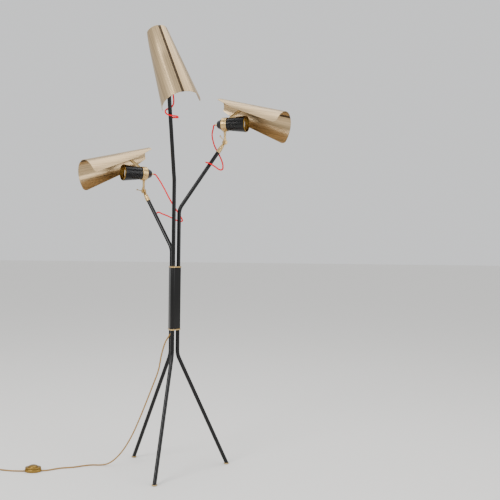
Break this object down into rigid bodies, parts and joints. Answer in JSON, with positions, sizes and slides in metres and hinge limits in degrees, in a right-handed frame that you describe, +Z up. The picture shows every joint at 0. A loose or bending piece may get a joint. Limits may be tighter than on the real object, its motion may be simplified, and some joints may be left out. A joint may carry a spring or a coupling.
{
  "type": "tripod floor lamp",
  "caption": "Floor lamp on bent tube legs joined by a sleeve, with arms carrying swivelling heads under curved sheet shades, and a mains cord with a foot switch.",
  "frame": {"origin": "on the floor, under the middle of the lamp's box measured without its cords", "axes": "+Z up, +X to the right of the lamp's front, +Y to its back"},
  "size_m": [1.2024, 0.5842, 1.6393],
  "materials": {
    "black_steel": "satin black powder coat",
    "black_leather": "smooth black leather",
    "brass": "satin brass",
    "champagne": "brushed pale brass, warm satin inside",
    "red_cord": "red braided textile",
    "gold_cord": "twisted gold textile",
    "dark_plastic": "black plastic",
    "lamp_glass": "white frosted lamp"
  },
  "bodies": {
    "stand": {"tube_left": "black_steel", "tube_right": "black_steel", "tube_tall": "black_steel", "column_sleeve": "black_leather", "collar_top": "brass", "collar_bottom": "brass", "foot_left": "brass", "foot_right": "brass", "foot_front": "brass", "cord_bushing": "dark_plastic", "mains_cord_a": "gold_cord", "mains_cord_b": "gold_cord", "mains_coil": "gold_cord", "plug": "dark_plastic", "switch_base": "brass", "switch_cover": "brass", "ferrule_left": "brass", "ferrule_right": "brass", "ferrule_top": "brass", "cable_left_lower": "red_cord", "cable_right_lower": "red_cord", "cable_top_lower": "red_cord"},
    "stem_left": {"stem_left": "brass"},
    "head_left": {"clamp_band_left": "brass", "housing_left": "black_steel", "rear_cap_left": "black_steel", "cable_gland_left": "brass", "baffle_left": "brass", "lamp_holder_left": "dark_plastic", "bulb_left": "lamp_glass", "cable_left_upper": "red_cord"},
    "shade_left": {"shade_bracket_left": "brass", "shade_left": "champagne"},
    "lever_left": {"clamp_lever_left": "brass"},
    "stem_right": {"stem_right": "brass"},
    "head_right": {"clamp_band_right": "brass", "housing_right": "black_steel", "rear_cap_right": "black_steel", "cable_gland_right": "brass", "baffle_right": "brass", "lamp_holder_right": "dark_plastic", "bulb_right": "lamp_glass", "cable_right_upper": "red_cord"},
    "shade_right": {"shade_bracket_right": "brass", "shade_right": "champagne"},
    "lever_right": {"clamp_lever_right": "brass"},
    "stem_top": {"stem_top": "brass"},
    "head_top": {"clamp_band_top": "brass", "housing_top": "black_steel", "rear_cap_top": "black_steel", "cable_gland_top": "brass", "baffle_top": "brass", "lamp_holder_top": "dark_plastic", "bulb_top": "lamp_glass", "cable_top_upper": "red_cord"},
    "shade_top": {"shade_bracket_top": "brass", "shade_top": "champagne"},
    "lever_top": {"clamp_lever_top": "brass"},
    "foot_button": {"foot_button": "brass"}
  },
  "joints": [
    {"name": "tilt_left", "type": "hinge", "parent": "stand", "child": "stem_left", "pos_m": [-0.15729, 0.2036, 1.07024], "axis": [-0.7218, -0.6921, 0], "range_deg": [-45, 45], "deforming": ["cable_left_lower"]},
    {"name": "swivel_left", "type": "hinge", "parent": "stem_left", "child": "head_left", "pos_m": [-0.15729, 0.2036, 1.13925], "axis": [0, 0, 1], "range_deg": [-60, 60], "deforming": ["cable_left_upper"]},
    {"name": "shade_turn_left", "type": "hinge", "parent": "head_left", "child": "shade_left", "pos_m": [-0.15729, 0.2036, 1.13925], "axis": [-0.9063, -0.4226, 0], "range_deg": [-40, 40]},
    {"name": "lever_turn_left", "type": "hinge", "parent": "stand", "child": "lever_left", "pos_m": [-0.15729, 0.2036, 1.07024], "axis": [-0.7218, -0.6921, 0], "range_deg": [-40, 40]},
    {"name": "tilt_right", "type": "hinge", "parent": "stand", "child": "stem_right", "pos_m": [0.15709, 0.11978, 1.2614], "axis": [-0.2385, 0.9711, 0], "range_deg": [-45, 45], "deforming": ["cable_right_lower"]},
    {"name": "swivel_right", "type": "hinge", "parent": "stem_right", "child": "head_right", "pos_m": [0.15709, 0.11978, 1.3304], "axis": [0, 0, 1], "range_deg": [-60, 60], "deforming": ["cable_right_upper"]},
    {"name": "shade_turn_right", "type": "hinge", "parent": "head_right", "child": "shade_right", "pos_m": [0.15709, 0.11978, 1.3304], "axis": [0.9063, -0.4226, 0], "range_deg": [-40, 40]},
    {"name": "lever_turn_right", "type": "hinge", "parent": "stand", "child": "lever_right", "pos_m": [0.15709, 0.11978, 1.2614], "axis": [0.2385, -0.9711, 0], "range_deg": [-40, 40]},
    {"name": "tilt_top", "type": "hinge", "parent": "stand", "child": "stem_top", "pos_m": [-0.06514, -0.03979, 1.48832], "axis": [0.9603, -0.279, 0], "range_deg": [-45, 45], "deforming": ["cable_top_lower"]},
    {"name": "swivel_top", "type": "hinge", "parent": "stem_top", "child": "head_top", "pos_m": [-0.07966, -0.0898, 1.53359], "axis": [-0.2106, -0.7247, 0.6561], "range_deg": [-60, 60], "deforming": ["cable_top_upper"]},
    {"name": "shade_turn_top", "type": "hinge", "parent": "head_top", "child": "shade_top", "pos_m": [-0.07966, -0.0898, 1.53359], "axis": [0.2482, -0.6887, -0.6812], "range_deg": [-40, 40]},
    {"name": "lever_turn_top", "type": "hinge", "parent": "stand", "child": "lever_top", "pos_m": [-0.06514, -0.03979, 1.48832], "axis": [0.9603, -0.279, 0], "range_deg": [-40, 40]},
    {"name": "button_press", "type": "slide", "parent": "stand", "child": "foot_button", "axis": [0, 0, -1], "range_m": [0, 0.002], "stiffness_N_per_m": 400}
  ]
}
